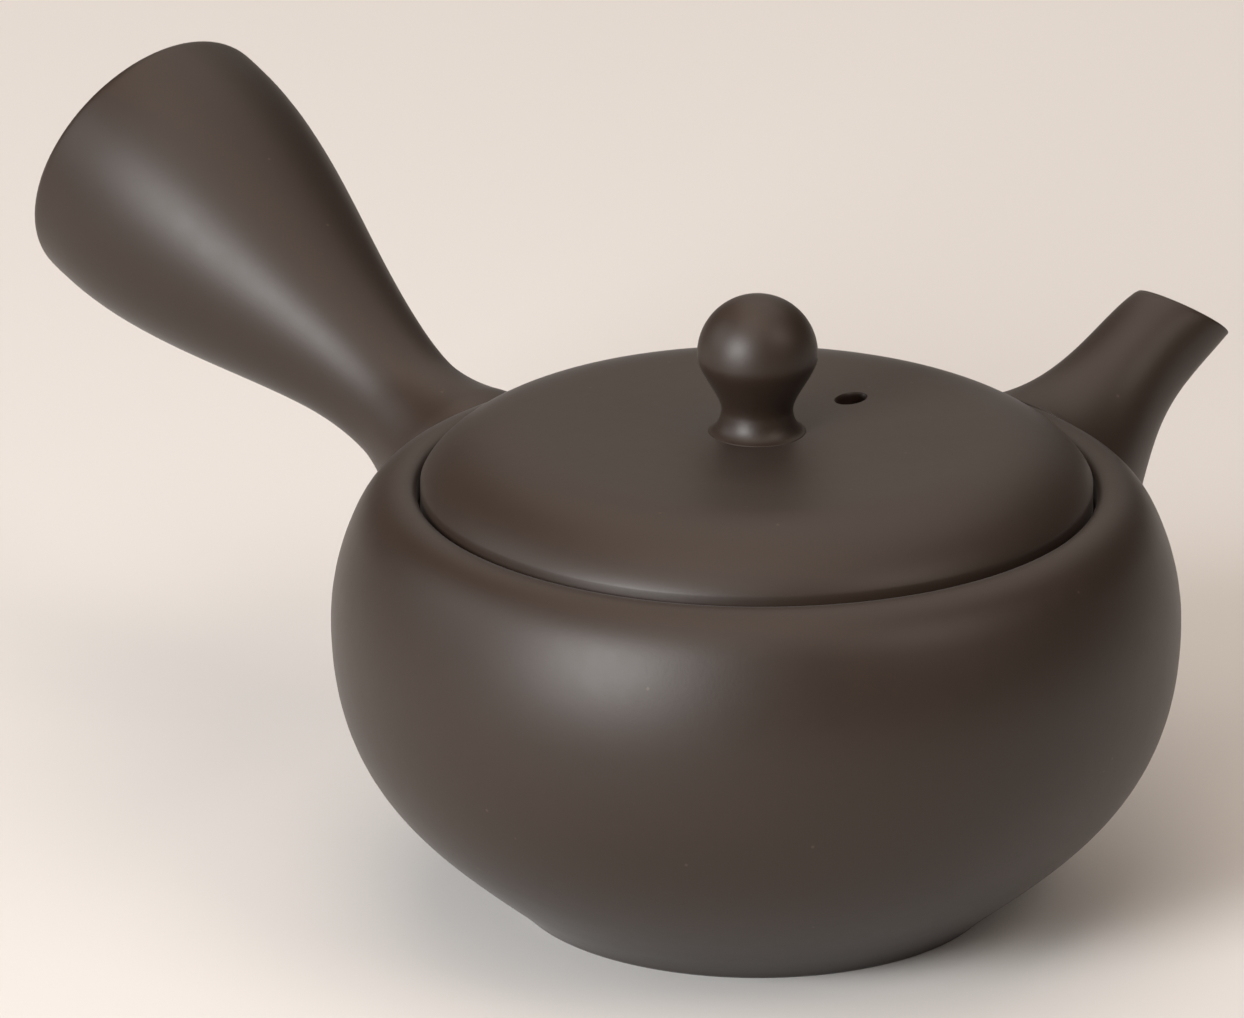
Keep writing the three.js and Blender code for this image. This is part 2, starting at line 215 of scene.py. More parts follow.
# %% Clay finish
DARK_CLAY = (0.0170, 0.0090, 0.0052, 1)
LIGHT_CLAY = (0.0250, 0.0134, 0.0078, 1)
GRIT = (0.11, 0.08, 0.06, 1)
GRIT_SHARE = 0.35
SPECK_STOPS = ((0.03, 1.0), (0.05, 0.0))
GRAIN_DEPTH = 0.00006
SHEEN = 0.08
SHEEN_ROUGHNESS = 0.3
OBJECT_OUTPUT = 3


def clay_finish(name, roughness, grain_strength):
    clay = Finish(name)
    place = clay.add("ShaderNodeTexCoord", output=OBJECT_OUTPUT)
    clouds = clay.add("ShaderNodeTexNoise", Vector=place, Scale=26.0, Detail=4.0, Roughness=0.55)
    mottle = clay.add("ShaderNodeTexNoise", Vector=place, Scale=420.0, Detail=3.0, Roughness=0.6)
    grain = clay.add("ShaderNodeTexNoise", Vector=place, Scale=2400.0, Detail=2.0)
    cells = clay.add("ShaderNodeTexVoronoi", Vector=place, Scale=190.0)
    specks = clay.add("ShaderNodeValToRGB", stops=SPECK_STOPS, Fac=cells)
    tone = clay.mix(clouds * 0.7 + mottle * 0.3, DARK_CLAY, LIGHT_CLAY)
    grit = clay.mix(specks * GRIT_SHARE, tone, GRIT)
    height = grain * 0.6 + mottle * 0.8
    bump = clay.add("ShaderNodeBump", Strength=grain_strength, Distance=GRAIN_DEPTH, Height=height)
    clay.set(
        Sheen_Weight=SHEEN,
        Sheen_Roughness=SHEEN_ROUGHNESS,
        Base_Color=grit,
        Roughness=clouds * 0.05 + mottle * 0.05 + roughness,
        Normal=bump,
    )
    return clay.material


burnished = clay_finish("burnished_clay", 0.43, 0.22)
unpolished = clay_finish("unpolished_clay", 0.62, 0.35)
print("clays:", burnished.name, unpolished.name)

# %% Sheet and surrounding light
SHEET_COLOUR = (0.68, 0.665, 0.65, 1)
SHEET_ROUGHNESS = 0.9
WORLD_LIGHT = 0.06

sheet = Finish("pale_sheet")
sheet.set(Base_Color=SHEET_COLOUR, Roughness=SHEET_ROUGHNESS)
floor.data.materials.append(sheet.material)

world = bpy.data.worlds.new("studio")
bpy.context.scene.world = world
world.use_nodes = True
world_light = next(n for n in world.node_tree.nodes if n.type == "BACKGROUND")
world_light.inputs["Color"].default_value = (*WARM, 1)
world_light.inputs["Strength"].default_value = WORLD_LIGHT
bpy.context.scene.view_settings.view_transform = "Standard"
print("finishes:", [m.name for m in bpy.data.materials if m.users])

# %% [markdown]
# A potter's profile is a few smooth curves. These three helpers give the points of a quadratic
# curve, a cubic curve and part of an ellipse, as (radius, height) pairs in millimetres.

# %% Profile curves


def bend(start, by, end, steps):
    points = []
    for i in range(steps + 1):
        t = i / steps
        points.append(tuple(
            (1 - t) ** 2 * start[k] + 2 * t * (1 - t) * by[k] + t * t * end[k] for k in range(2)
        ))
    return points


def sweep(start, by, near, end, steps):
    points = []
    for i in range(steps + 1):
        t = i / steps
        shares = ((1 - t) ** 3, 3 * t * (1 - t) ** 2, 3 * t * t * (1 - t), t ** 3)
        parts = list(zip(shares, (start, by, near, end)))
        points.append(tuple(sum(share * point[k] for share, point in parts) for k in range(2)))
    return points


def arc(centre, radii, start, end, steps):
    points = []
    for i in range(steps + 1):
        a = start + (end - start) * i / steps
        points.append((centre[0] + radii[0] * math.cos(a), centre[1] + radii[1] * math.sin(a)))
    return points


print("a quarter circle in 4 steps:", arc((0, 0), (1, 1), 0, math.pi / 2, 4))

# %% [markdown]
# A thrown form is a ring of clay drawn up and out. A circle is laid at the first height, then
# extruded ring by ring along the profile and scaled to each radius, as a wall grows under the
# hands. A screw or spin would give the same form, but rings let a later step pick one of them by
# its height and move it.

# %% Throwing
TINY = 0.02
SAME_RING = 0.005
SAME_POINT = 0.000001


def make_active(piece):
    clear_selection()
    piece.select_set(True)
    bpy.context.view_layer.objects.active = piece


def start_ring(name, radius, sides):
    clear_selection()
    bpy.ops.mesh.primitive_circle_add(vertices=sides, radius=radius * MM, location=(0, 0, 0))
    form = bpy.context.object
    form.name = name
    return form


def close_form():
    bpy.ops.mesh.select_all(action="SELECT")
    bpy.ops.mesh.remove_doubles(threshold=SAME_POINT)
    bpy.ops.mesh.fill_holes(sides=0)
    bpy.ops.mesh.select_all(action="SELECT")
    bpy.ops.mesh.normals_make_consistent(inside=False)
    bpy.ops.object.mode_set(mode="OBJECT")


def throw(name, profile, sides):
    rings = [profile[0]]
    for ring in profile[1:]:
        if math.dist(ring, rings[-1]) > SAME_RING:
            rings.append((max(ring[0], TINY), ring[1]))
    form = start_ring(name, rings[0][0], sides)
    bpy.ops.object.mode_set(mode="EDIT")
    bpy.ops.mesh.select_all(action="SELECT")
    bpy.ops.transform.translate(value=(0, 0, rings[0][1] * MM))
    for was, ring in zip(rings, rings[1:]):
        grow = ring[0] / was[0]
        rise = {"value": (0, 0, (ring[1] - was[1]) * MM)}
        bpy.ops.mesh.extrude_region_move(TRANSFORM_OT_translate=rise)
        bpy.ops.transform.resize(value=(grow, grow, 1), center_override=(0, 0, ring[1] * MM))
    close_form()
    return form


def place_form(piece, matrix):
    piece.matrix_world = matrix
    make_active(piece)
    bpy.ops.object.transform_apply(location=True, rotation=True, scale=True)


def apply_modifier(piece, kind, **settings):
    make_active(piece)
    modifier = piece.modifiers.new(kind.lower(), kind)
    for key, item in settings.items():
        setattr(modifier, key, item)
    bpy.ops.object.modifier_apply(modifier=modifier.name)


def cut(piece, tool):
    apply_modifier(piece, "BOOLEAN", operation="DIFFERENCE", object=tool, solver="EXACT")
    bpy.data.objects.remove(tool)


print("thrown forms take a profile and a number of sides")

# %% [markdown]
# A finished piece is shaded smooth except across real edges, gets its clay, is attached to the body
# it rides on, and hides the node that it stands for. Faces that a test calls hidden from the stone
# get the dull finish instead.

# %% Finishing a piece
SHARP_ANGLE = math.radians(42)


def finish_piece(piece, node, body, is_dull=None):
    make_active(piece)
    bpy.ops.object.shade_smooth_by_angle(angle=SHARP_ANGLE)
    piece.data.materials.clear()
    piece.data.materials.append(burnished)
    piece.data.materials.append(unpolished)
    for face in piece.data.polygons:
        face.material_index = 1 if is_dull and is_dull(face) else 0
    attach(piece, body)
    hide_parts(node)
    size = [round(v / MM, 1) for v in piece.dimensions]
    print(piece.name, size, "mm,", len(piece.data.polygons), "faces")


print("edges sharper than", round(math.degrees(SHARP_ANGLE)), "degrees stay sharp")

# %% [markdown]
# The bowl is a squat round belly on a low foot. Its wall turns in over a soft shoulder to the
# mouth, where a ledge inside carries the lid. One closed profile gives the foot, the outside, the
# lip, the ledge and the inside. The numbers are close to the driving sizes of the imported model, so
# that both forms agree.

# %% Bowl sizes
BELLY_RADIUS = 54.55
BELLY_HEIGHT = 37.4
BELLY_DROP = 17.4
UNDER_TURN = (46.5, 13)
UPPER_CURVE = 40
WALL = 3.6
FLOOR = 4.4
FLOOR_ROUND = 8.5
FOOT_RADIUS = 31.3
FOOT_HEIGHT = 4.3
FOOT_FLARE = 4.7
SHOULDER_HEIGHT = 50.3
MOUTH_RADIUS = 43.5
MOUTH_HEIGHT = 55.6
LIP_WIDTH = 1.95
LEDGE_HEIGHT = 51.6
LEDGE_RADIUS = 38.55
LEDGE_THICKNESS = 2.4
LEDGE_ROOT_DROP = 4.2
RIPPLE = 0.09
FLOOR_RIPPLE = 0.08
BOWL_SIDES = 144


def under_belly(out, steps):
    return sweep(
        (BELLY_RADIUS + out, BELLY_HEIGHT),
        (BELLY_RADIUS + out, BELLY_HEIGHT - BELLY_DROP - out * 0.4),
        (UNDER_TURN[0] + out * 0.75, UNDER_TURN[1] - out * 0.66),
        (FOOT_RADIUS + FOOT_FLARE + out * 0.64, FOOT_HEIGHT - out * 0.77),
        steps,
    )


print("belly", BELLY_RADIUS * 2, "mm wide, mouth", MOUTH_RADIUS * 2, "mm wide")

# %% Outside of the bowl, from foot to lip
shoulder_angle = math.asin((SHOULDER_HEIGHT - BELLY_HEIGHT) / UPPER_CURVE)
shoulder = BELLY_RADIUS * math.cos(shoulder_angle)
slope = BELLY_RADIUS * math.tan(shoulder_angle) / UPPER_CURVE
turn = (MOUTH_HEIGHT - SHOULDER_HEIGHT) * 0.9
under = under_belly(0, 36)[::-1]
flare = (FOOT_RADIUS + FOOT_FLARE * 0.2, FOOT_HEIGHT * 0.3)
lip = (MOUTH_RADIUS + LIP_WIDTH, MOUTH_HEIGHT)
outside = (
    [(TINY, 0.25), (12, 0.22), (20, 0.15), (24, 0), (FOOT_RADIUS - 1, 0), (FOOT_RADIUS - 0.3, 0.02)]
    + bend((FOOT_RADIUS, 0.3), flare, under[0], 10)
    + under
    + arc((0, BELLY_HEIGHT), (BELLY_RADIUS, UPPER_CURVE), 0, shoulder_angle, 12)
    + bend((shoulder, SHOULDER_HEIGHT), (shoulder - turn * slope, SHOULDER_HEIGHT + turn), lip, 14)
    + bend(lip, (MOUTH_RADIUS, MOUTH_HEIGHT), (MOUTH_RADIUS, MOUTH_HEIGHT - 1.2), 6)
)
print("outside", len(outside), "rings")

# %% [markdown]
# Inside, the fingers leave faint rings in the clay as the wall is pulled up. They are a small
# ripple on the radius of the inner profile, about a tenth of a millimetre deep.

# %% Inside of the bowl, from ledge to floor
nose = LEDGE_THICKNESS / 2
inner_high = UPPER_CURVE - WALL
ledge_under = LEDGE_HEIGHT - LEDGE_THICKNESS
root_height = ledge_under - LEDGE_ROOT_DROP
root_angle = math.asin((root_height - BELLY_HEIGHT) / inner_high)
ledge_root = ((BELLY_RADIUS - WALL) * math.cos(root_angle), root_height)
inner_wall = arc((0, BELLY_HEIGHT), (BELLY_RADIUS - WALL, inner_high), root_angle, 0, 8)
inner_wall += under_belly(-WALL, 44)
corner = inner_wall[-1]
inner_wall += bend(corner, (corner[0] - FLOOR_ROUND * 0.4, FLOOR), (corner[0] - FLOOR_ROUND, FLOOR), 8)
rippled = [(radius + RIPPLE * math.sin(height * 1.5), height) for radius, height in inner_wall]
inside = (
    bend(
        (MOUTH_RADIUS, LEDGE_HEIGHT + 0.5),
        (MOUTH_RADIUS, LEDGE_HEIGHT),
        (MOUTH_RADIUS - 0.5, LEDGE_HEIGHT),
        3,
    )
    + arc((LEDGE_RADIUS + nose, LEDGE_HEIGHT - nose), (nose, nose), math.pi / 2, math.pi * 1.5, 10)
    + bend((LEDGE_RADIUS + nose, ledge_under), (ledge_root[0] - 2, ledge_under - 0.8), ledge_root, 10)
    + rippled
    + [(radius, FLOOR + FLOOR_RIPPLE * math.cos(radius * 1.2)) for radius in range(24, 0, -1)]
    + [(TINY, FLOOR + 0.1)]
)
bowl = throw("thrown_bowl", outside + inside, BOWL_SIDES)
print("bowl", len(outside) + len(inside), "rings")

# %% [markdown]
# The handle and the spout are drawn along axes of their own and joined to the bowl with slip, and
# the potter smooths the joint with a wet finger until it runs into the wall. So the last rings of
# each root are laid on the bowl's skin: a Shrinkwrap modifier on a vertex group moves only them,
# each with its own small offset, and a Subdivision Surface carries the curve through.

# %% Laying a root on the bowl
ROOT_LIFT = 0.3
ROOT_SINK = -0.1
SAME_HEIGHT = 0.02


def ring_at(piece, height, reach):
    """Vertices of an upright form at a height and further out than the reach, both in millimetres."""
    found = []
    for vertex in piece.data.vertices:
        wide = math.hypot(vertex.co.x, vertex.co.y)
        if abs(vertex.co.z - height * MM) < SAME_HEIGHT * MM and wide > reach * MM:
            found.append(vertex.index)
    return found


def lay_on(piece, skin, indices, lift):
    group = piece.vertex_groups.new(name="root")
    group.add(indices, 1.0, "REPLACE")
    apply_modifier(
        piece,
        "SHRINKWRAP",
        target=skin,
        wrap_method="NEAREST_SURFACEPOINT",
        wrap_mode="OUTSIDE_SURFACE" if lift > 0 else "ON_SURFACE",
        offset=abs(lift) * MM,
        vertex_group="root",
    )
    piece.vertex_groups.remove(piece.vertex_groups["root"])


print("roots are laid ring by ring")

# %% [markdown]
# The handle is thrown upright like a small vase: a flared root, a narrow neck, a wide end with a
# rounded rim, and a hollow that narrows towards the neck. When the soft clay is joined to the bowl
# it sinks a little at the root. Proportional editing makes that bend: the root ring moves down by
# about a millimetre, and the rings beside it follow less and less.

# %% Handle sizes and profile
HANDLE_TURN = math.radians(87.5)
HANDLE_TILT = math.radians(20.9)
HANDLE_HEIGHT = 21.7
HANDLE_END = 131.8
HANDLE_END_RADIUS = 19.15
HANDLE_NECK = 73.5
HANDLE_NECK_RADIUS = 8.05
HANDLE_WALL = 3.1
HANDLE_ROOT = 59.3
HANDLE_ROOT_RADIUS = 12.9
HANDLE_CORE = 6
HANDLE_SIDES = 48
HOLLOW_START = 60
SOFT_ROOT_TOP = 64.5
SOFT_REACH = 0.023
HANDLE_SAG = 1.15

hollow = HANDLE_END_RADIUS - HANDLE_WALL
neck_hollow = HANDLE_NECK_RADIUS - HANDLE_WALL
root = sweep(
    (HANDLE_ROOT_RADIUS, HANDLE_ROOT),
    (HANDLE_ROOT_RADIUS - 2, HANDLE_ROOT + 3.2),
    (HANDLE_NECK_RADIUS + 0.25, HANDLE_NECK - 5),
    (HANDLE_NECK_RADIUS, HANDLE_NECK),
    9,
)
flared = sweep(
    (HANDLE_NECK_RADIUS, HANDLE_NECK),
    (HANDLE_NECK_RADIUS - 0.1, HANDLE_NECK + 15),
    (HANDLE_END_RADIUS - 0.55, HANDLE_END - 23.3),
    (HANDLE_END_RADIUS, HANDLE_END - 5.8),
    14,
)
crest = (HANDLE_END_RADIUS - HANDLE_WALL * 0.5, HANDLE_END)
rim = bend((HANDLE_END_RADIUS, HANDLE_END - 1.9), (HANDLE_END_RADIUS, HANDLE_END), crest, 6) + bend(
    crest, (hollow, HANDLE_END), (hollow, HANDLE_END - 2), 5
)
inner = sweep(
    (hollow, HANDLE_END - 5),
    (hollow, HANDLE_END - 22),
    (neck_hollow, HANDLE_NECK + 14),
    (neck_hollow, HANDLE_NECK + 1),
    12,
)
handle_profile = root + flared + rim + inner + [(neck_hollow, 66), (neck_hollow * 0.8, 62)]
handle = throw("thrown_handle", handle_profile, HANDLE_SIDES)
print("handle", len(handle_profile), "rings")

# %% Let the root sink, swing the handle and lay it on the bowl
root_rings = [ring_at(handle, height, HANDLE_CORE) for radius, height in root[:2]]
make_active(handle)
bpy.ops.object.mode_set(mode="EDIT")
bpy.ops.mesh.select_all(action="DESELECT")
bpy.ops.object.mode_set(mode="OBJECT")
for vertex in handle.data.vertices:
    vertex.select = vertex.co.z < SOFT_ROOT_TOP * MM
bpy.ops.object.mode_set(mode="EDIT")
bpy.ops.transform.translate(
    value=(HANDLE_SAG * MM, 0, 0),
    use_proportional_edit=True,
    proportional_edit_falloff="SMOOTH",
    proportional_size=SOFT_REACH,
)
bpy.ops.object.mode_set(mode="OBJECT")
tilt = Matrix.Rotation(math.pi / 2 - HANDLE_TILT, 4, "Y")
swing = Matrix.Rotation(HANDLE_TURN, 4, "Z")
place_form(handle, Matrix.Translation((0, 0, HANDLE_HEIGHT * MM)) @ swing @ tilt)
lay_on(handle, bowl, root_rings[1], ROOT_LIFT)
lay_on(handle, bowl, root_rings[0], ROOT_SINK)
apply_modifier(handle, "SUBSURF", levels=1, render_levels=1)
print("laid", [len(ring) for ring in root_rings], "vertices on the bowl")

# %% Finish the handle
handle_way = Vector((
    math.cos(HANDLE_TURN) * math.cos(HANDLE_TILT),
    math.sin(HANDLE_TURN) * math.cos(HANDLE_TILT),
    math.sin(HANDLE_TILT),
))


def in_handle_hollow(face):
    arm = face.center - Vector((0, 0, HANDLE_HEIGHT * MM))
    along = arm.dot(handle_way)
    outwards = (arm - handle_way * along).dot(face.normal)
    return outwards < 0 and HOLLOW_START * MM < along < (HANDLE_END - 1.5) * MM


finish_piece(handle, "handle", "pot", in_handle_hollow)

# %% [markdown]
# The spout is a short tube on a gently bent axis. Its radius falls quickly from the wide root and
# is nearly even from the middle on. Two leans shape its ends: at the root the rings lie back
# towards the bowl's wall, and at the mouth they lean the other way, because the lip is cut at a
# slant so that the last drop runs back. The rim's table gives, for each ring, how far it lies in
# from the outer wall and how far it stands out.

# %% Spout sizes and axis
SPOUT_AXIS = ((52.7, 42.0), (65.1, 50.7), (67.5, 54.6), (78.75, 59.8))
SPOUT_RADII = (14.5, 6.25, 6.9, 6.65)
SPOUT_ROOT_LEAN = math.radians(-12.7)
SPOUT_MOUTH_LEAN = math.radians(30)
PASSAGE_AXIS = ((44, 32.4), (56, 42.1), (67, 54), (79, 60))
PASSAGE_RADIUS = 6.2
PASSAGE_INLET = 0.2
MOUTH_HOLE_RADIUS = 4.65
POLISHED_MOUTH = 4
MOUTH_RIM = ((0, -0.12), (0.06, 0.05), (0.25, 0.16), (0.7, 0.2), (1.2, 0), (1.45, -0.5))
ROOT_RINGS = (((49.9, 40.4), math.radians(12.8), 14.85), ((50.8, 41.0), math.radians(15.1), 14.5))
AXIS_STEPS = 1000
TUBE_SIDES = 40
SAME_HEADING = 1e-5


def spout_station(t):
    """Centre, heading and radius of the spout's outer wall, from root (0) to mouth (1)."""
    radius = sweep(*[(value, 0) for value in SPOUT_RADII], AXIS_STEPS)[round(t * AXIS_STEPS)][0]
    step = min(round(t * AXIS_STEPS), AXIS_STEPS - 1)
    here, ahead = sweep(*SPOUT_AXIS, AXIS_STEPS)[step:][:2]
    heading = math.atan2(ahead[1] - here[1], ahead[0] - here[0])
    lean = SPOUT_ROOT_LEAN * max(0, 1 - t / 0.45) ** 2 + SPOUT_MOUTH_LEAN * t ** 5
    return here, heading + lean, radius


print("root", spout_station(0), "mouth", spout_station(1))

# %% [markdown]
# A bent tube is drawn like a thrown one, but each new ring is also moved along the axis and turned.
# With no window open, the rotate operator turns the other way round and ignores the pivot setting,
# so the turn is given as the change of heading and the centre is given outright.

# %% Drawing a bent tube


def draw_tube(name, stations):
    """stations: (centre in the XZ plane, heading above +X in radians, radius), in millimetres."""
    centre, heading, radius = stations[0]
    form = start_ring(name, radius, TUBE_SIDES)
    lean = Matrix.Rotation(math.pi / 2 - heading, 4, "Y")
    place_form(form, Matrix.Translation((centre[0] * MM, 0, centre[1] * MM)) @ lean)
    bpy.ops.object.mode_set(mode="EDIT")
    bpy.ops.mesh.select_all(action="SELECT")
    for was, station in zip(stations, stations[1:]):
        step = ((station[0][0] - was[0][0]) * MM, 0, (station[0][1] - was[0][1]) * MM)
        here = (station[0][0] * MM, 0, station[0][1] * MM)
        grow = station[2] / was[2]
        bpy.ops.mesh.extrude_region_move(TRANSFORM_OT_translate={"value": step})
        bpy.ops.transform.resize(value=(grow, grow, grow), center_override=here)
        turn = station[1] - was[1]
        if abs(turn) > SAME_HEADING:
            bpy.ops.transform.rotate(value=turn, orient_axis="Y", center_override=here)
    return form


def passage_station(t, radius):
    step = min(round(t * AXIS_STEPS), AXIS_STEPS - 1)
    here, ahead = sweep(*PASSAGE_AXIS, AXIS_STEPS)[step:][:2]
    return here, math.atan2(ahead[1] - here[1], ahead[0] - here[0]), radius


print("passage leaves the bowl at", passage_station(PASSAGE_INLET, PASSAGE_RADIUS)[0])

# %% Outer wall, mouth and passage
stations = list(ROOT_RINGS)
stations += [spout_station(0.03 + 0.9 * i / 18) for i in range(19)]
stations += [spout_station(t) for t in (0.955, 0.975, 0.988)]
mouth, mouth_heading, mouth_radius = spout_station(1)
for inwards, rise in MOUTH_RIM:
    centre = (mouth[0] + rise * math.cos(mouth_heading), mouth[1] + rise * math.sin(mouth_heading))
    stations.append((centre, mouth_heading, mouth_radius - inwards))
for i in range(13):
    t = 0.9 - 0.62 * i / 12
    widening = (PASSAGE_RADIUS - MOUTH_HOLE_RADIUS) * max(0, 0.75 - t) * 2
    stations.append(passage_station(t, MOUTH_HOLE_RADIUS + widening))
spout = draw_tube("thrown_spout", stations)
print("spout", len(stations), "rings")

# %% Lay the spout's root on the bowl
bpy.ops.mesh.select_all(action="DESELECT")
bpy.ops.mesh.select_non_manifold()
bpy.ops.mesh.bridge_edge_loops()
close_form()
lay_on(spout, bowl, list(range(TUBE_SIDES, TUBE_SIDES * 2)), ROOT_LIFT)
lay_on(spout, bowl, list(range(TUBE_SIDES)), ROOT_SINK)
apply_modifier(spout, "SUBSURF", levels=1, render_levels=1)
spout_line = sweep(*SPOUT_AXIS, 60)


def in_passage(face):
    at = (face.center.x / MM, face.center.z / MM)
    nearest = min(spout_line, key=lambda point: math.dist(point, at))
    arm = Vector((at[0] - nearest[0], face.center.y / MM, at[1] - nearest[1]))
    return arm.dot(face.normal) < 0 and math.dist(at, mouth) > POLISHED_MOUTH


finish_piece(spout, "spout", "pot", in_passage)

# %% [markdown]
# Behind the spout a small pierced dome of the same clay keeps the leaves back. It is thrown as a
# cap, turned to face into the bowl and laid on the wall. Its holes are pushed through with a pin,
# ring after ring, so one Boolean with all the pins joined together opens them.

# %% Strainer
STRAINER_REACH = 10.5
STRAINER_BULGE = 6
STRAINER_WALL = 1.8
HOLE_RADIUS = 0.6
HOLE_PITCH = 2.1
HOLE_RINGS = 4
HOLE_TWIST = 0.2
HOLE_SIDES = 14
PIN_LENGTH = 6
STRAINER_SIDES = 56
POLE_GAP = 0.002

dome_radius = (STRAINER_REACH ** 2 + STRAINER_BULGE ** 2) / (2 * STRAINER_BULGE)
inner_radius = dome_radius - STRAINER_WALL
inlet = passage_station(PASSAGE_INLET, PASSAGE_RADIUS)[0]
dome_centre = (inlet[0] - STRAINER_BULGE + dome_radius, inlet[1])
rim_angle = math.radians(29)
cap = (
    arc((0, 0), (inner_radius, inner_radius), math.pi / 2 - POLE_GAP, rim_angle, 14)
    + arc((0, 0), (dome_radius, dome_radius), rim_angle, math.pi / 2 - POLE_GAP, 18)
)
strainer = throw("pierced_strainer", cap, STRAINER_SIDES)
print("strainer", len(cap), "rings")

# %% Push the holes through
pins = []
for ring in range(HOLE_RINGS + 1):
    count = max(1, ring * 6)
    for i in range(count):
        lean = ring * HOLE_PITCH / dome_radius
        around = i / count * math.tau + ring * HOLE_TWIST
        clear_selection()
        way = (math.sin(lean) * math.cos(around), math.sin(lean) * math.sin(around), math.cos(lean))
        bpy.ops.mesh.primitive_cylinder_add(
            vertices=HOLE_SIDES,
            radius=HOLE_RADIUS * MM,
            depth=PIN_LENGTH * MM,
            rotation=(0, lean, around),
            location=[v * (dome_radius - STRAINER_WALL / 2) * MM for v in way],
        )
        pins.append(bpy.context.object)
clear_selection()
for pin in pins:
    pin.select_set(True)
bpy.context.view_layer.objects.active = pins[0]
bpy.ops.object.join()
cut(strainer, pins[0])
print("strainer pierced", len(pins), "times")

# %% Set the strainer in the bowl
to_bowl = Matrix.Rotation(-math.pi / 2, 4, "Y")
dome_place = Vector((dome_centre[0] * MM, 0, dome_centre[1] * MM))
place_form(strainer, Matrix.Translation(dome_place) @ to_bowl)
rim_reach = dome_radius * math.sin(rim_angle) * MM + 0.2 * MM
rim_vertices = [v.index for v in strainer.data.vertices if (dome_place - v.co).x < rim_reach]
lay_on(strainer, bowl, rim_vertices, ROOT_SINK)
finish_piece(strainer, "strainer", "pot", lambda face: True)
print("laid", len(rim_vertices), "edge vertices")

# %% [markdown]
# With everything seated on its unbroken skin, the bowl can be opened for the tea. The tool is the
# passage itself, drawn a little into the bowl and out into the spout.

# %% Open the bowl's wall
passage = draw_tube("passage", [passage_station(0.02 + 0.05 * i, PASSAGE_RADIUS) for i in range(9)])
close_form()
cut(bowl, passage)


def inside_bowl(face):
    at = Vector((face.center.x, face.center.y, 0))
    wide = at.length / MM
    height = face.center.z / MM
    if height < 1:
        return wide < FOOT_RADIUS - 1
    faces_in = face.normal.dot(at) < 0 or face.normal.z > 0.9
    return faces_in and height < LEDGE_HEIGHT - 0.5 and wide < BELLY_RADIUS - WALL + 1


finish_piece(bowl, "bowl", "pot", inside_bowl)

# %% [markdown]
# The lid is a shallow drop-in cover. Its edge rises steeply from the mouth and turns over a round
# shoulder into a flat top. A skirt below keeps it centred in the ledge. A pin with a flared mouth
# opens the steam hole. It was worked to and fro a little, which left the hole oval and its edge
# soft.

# %% Lid
LID_RADIUS = 43
LID_EDGE = MOUTH_HEIGHT + 0.5
LID_TOP = LID_EDGE + 6.7
LID_CREST = LID_TOP + 0.05
LID_SHOULDER = 28.5
LID_WALL = 3.2
SEAT = LEDGE_HEIGHT + 0.3
SKIRT_RADIUS = LEDGE_RADIUS - 0.8
SKIRT_INSIDE = SKIRT_RADIUS - 2.6
SKIRT_FOOT = SEAT - 6

roof = LID_TOP - LID_WALL
shoulder_start = (LID_SHOULDER, LID_CREST)
lid_profile = (
    sweep((TINY, roof), (20, roof - 0.2), (SKIRT_INSIDE - 0.5, roof - 0.5), (SKIRT_INSIDE, roof - 5), 14)
    + [(SKIRT_INSIDE, SEAT)]
    + bend((SKIRT_INSIDE, SKIRT_FOOT + 1), (SKIRT_INSIDE, SKIRT_FOOT), (SKIRT_INSIDE + 1.2, SKIRT_FOOT), 4)
    + bend((SKIRT_RADIUS - 1.2, SKIRT_FOOT), (SKIRT_RADIUS, SKIRT_FOOT), (SKIRT_RADIUS, SKIRT_FOOT + 1), 4)
    + [(SKIRT_RADIUS, SEAT - 0.3), (SKIRT_RADIUS + 0.3, SEAT)]
    + bend((LID_RADIUS - 0.7, SEAT), (LID_RADIUS, SEAT), (LID_RADIUS, SEAT + 0.7), 4)
    + [(LID_RADIUS, SEAT + 2)]
    + sweep((LID_RADIUS, LID_EDGE), (LID_RADIUS - 1.1, LID_TOP - 4.3), (37, LID_CREST), shoulder_start, 30)
    + bend(shoulder_start, (LID_SHOULDER / 2, LID_TOP), (TINY, LID_TOP), 16)
)
lid = throw("thrown_lid", lid_profile, BOWL_SIDES)
print("lid", len(lid_profile), "rings")

# %% Steam hole
STEAM_HOLE_RADIUS = 2
STEAM_HOLE_PLACE = (17.2, 0.3)
STEAM_HOLE_OVAL = (1.2, 0.84, 1, 1)
STEAM_HOLE_TURN = math.radians(10)
PIN_SIDES = 40

pin_foot = LID_TOP - 8
pin_head = LID_TOP + 0.6
pin_profile = (
    [(TINY, pin_foot), (STEAM_HOLE_RADIUS, pin_foot)]
    + bend(
        (STEAM_HOLE_RADIUS, LID_TOP - 0.7),
        (STEAM_HOLE_RADIUS, LID_TOP - 0.2),
        (STEAM_HOLE_RADIUS + 0.2, LID_TOP),
        4,
    )
    + [(STEAM_HOLE_RADIUS + 0.5, pin_head), (TINY, pin_head)]
)
steam_pin = throw("steam_pin", pin_profile, PIN_SIDES)
steam_place = Matrix.Translation((STEAM_HOLE_PLACE[0] * MM, STEAM_HOLE_PLACE[1] * MM, 0))
steam_turn = Matrix.Rotation(STEAM_HOLE_TURN, 4, "Z")
place_form(steam_pin, steam_place @ steam_turn @ Matrix.Diagonal(STEAM_HOLE_OVAL))
cut(lid, steam_pin)
print("steam pin", len(pin_profile), "rings")

# %% Finish the lid


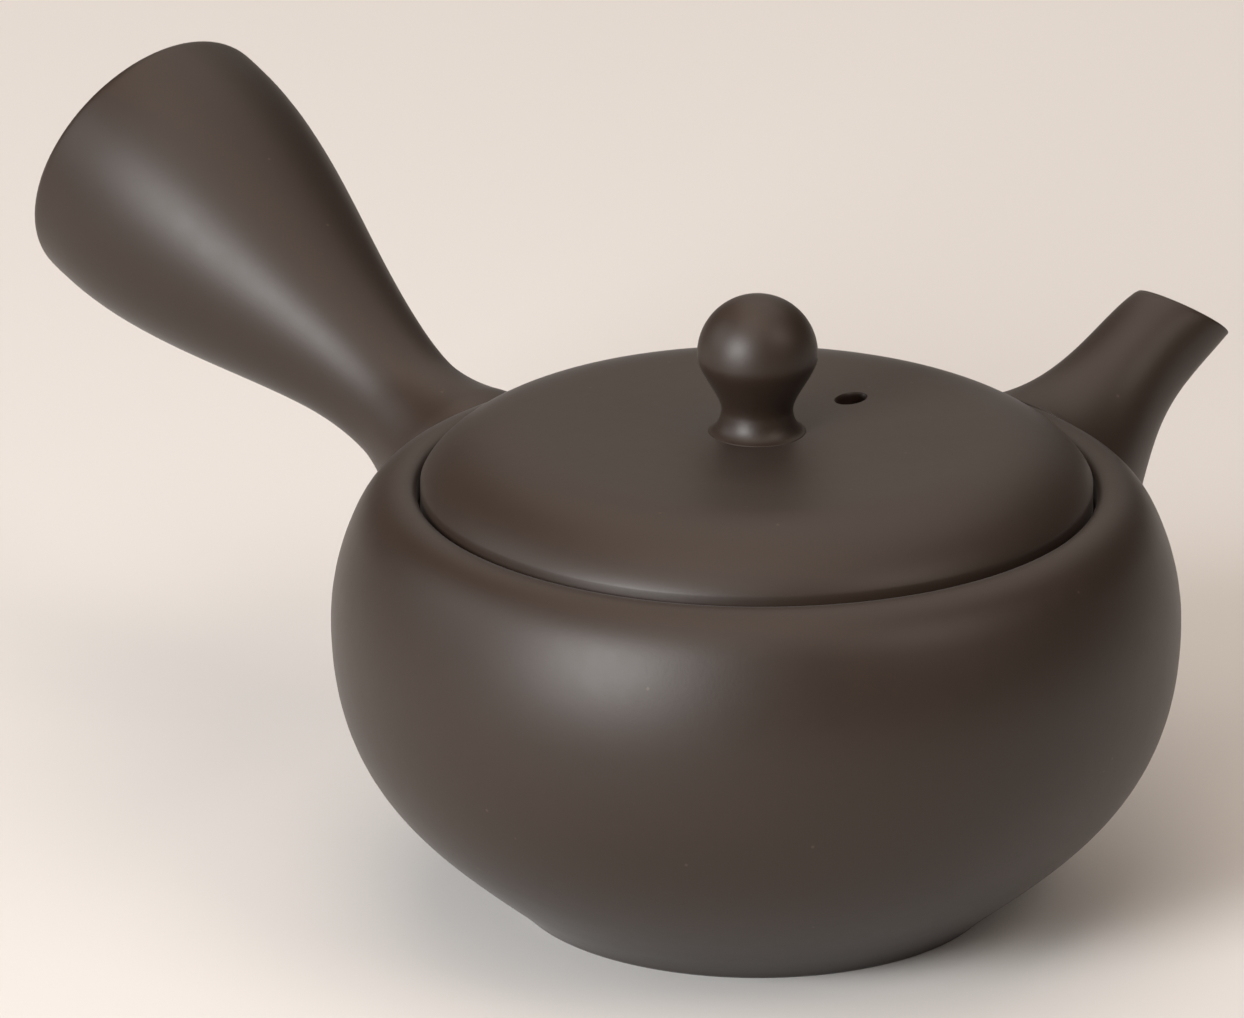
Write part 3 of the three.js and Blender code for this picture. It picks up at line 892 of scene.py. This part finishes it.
def under_lid(face):
    return face.normal.z < 0.2 and face.center.z < (SEAT + 0.3) * MM or face.normal.z < -0.3


finish_piece(lid, "lid", "lid", under_lid)

# %% [markdown]
# The knob is a ball on a short waist, thrown in one go. Only its upper half is a true ball. Below
# its widest line a soft edge shows where the potter's nail began to narrow the neck, which runs in
# as a hollow cone to the waist. The foot of the knob spreads again and melts into the lid.

# %% Knob
BALL_RADIUS = 7.72
BALL_HEIGHT = LID_TOP + 10.4
EDGE_DROP = 0.75
WAIST_RADIUS = 4.58
WAIST_HEIGHT = LID_TOP + 2.9
KNOB_FOOT_RADIUS = 6.3
KNOB_SIDES = 72

edge_angle = -math.asin(EDGE_DROP / BALL_RADIUS)
edge = (BALL_RADIUS * math.cos(edge_angle), BALL_HEIGHT - EDGE_DROP)
foot_edge = (KNOB_FOOT_RADIUS - 0.2, LID_TOP + 0.12)
sunk = LID_TOP - 0.4
knob_profile = (
    [(TINY, sunk), (KNOB_FOOT_RADIUS - 0.3, sunk), (KNOB_FOOT_RADIUS, LID_TOP - 0.2)]
    + bend((KNOB_FOOT_RADIUS, LID_TOP - 0.1), (KNOB_FOOT_RADIUS, LID_TOP + 0.05), foot_edge, 4)
    + sweep(
        (foot_edge[0] - 0.1, LID_TOP + 0.17),
        (WAIST_RADIUS + 0.75, LID_TOP + 0.5),
        (WAIST_RADIUS + 0.15, LID_TOP + 1.4),
        (WAIST_RADIUS, WAIST_HEIGHT),
        14,
    )
    + sweep(
        (WAIST_RADIUS, WAIST_HEIGHT),
        (WAIST_RADIUS - 0.02, WAIST_HEIGHT + 1.7),
        (edge[0] - 0.78, edge[1] - 2.35),
        (edge[0] - 0.1, edge[1] - 0.3),
        14,
    )
    + arc((0, BALL_HEIGHT), (BALL_RADIUS, BALL_RADIUS), edge_angle + 0.03, math.pi / 2 - 0.01, 30)
    + [(TINY, BALL_HEIGHT + BALL_RADIUS)]
)
knob = throw("ball_knob", knob_profile, KNOB_SIDES)
finish_piece(knob, "lid_knob", "lid")
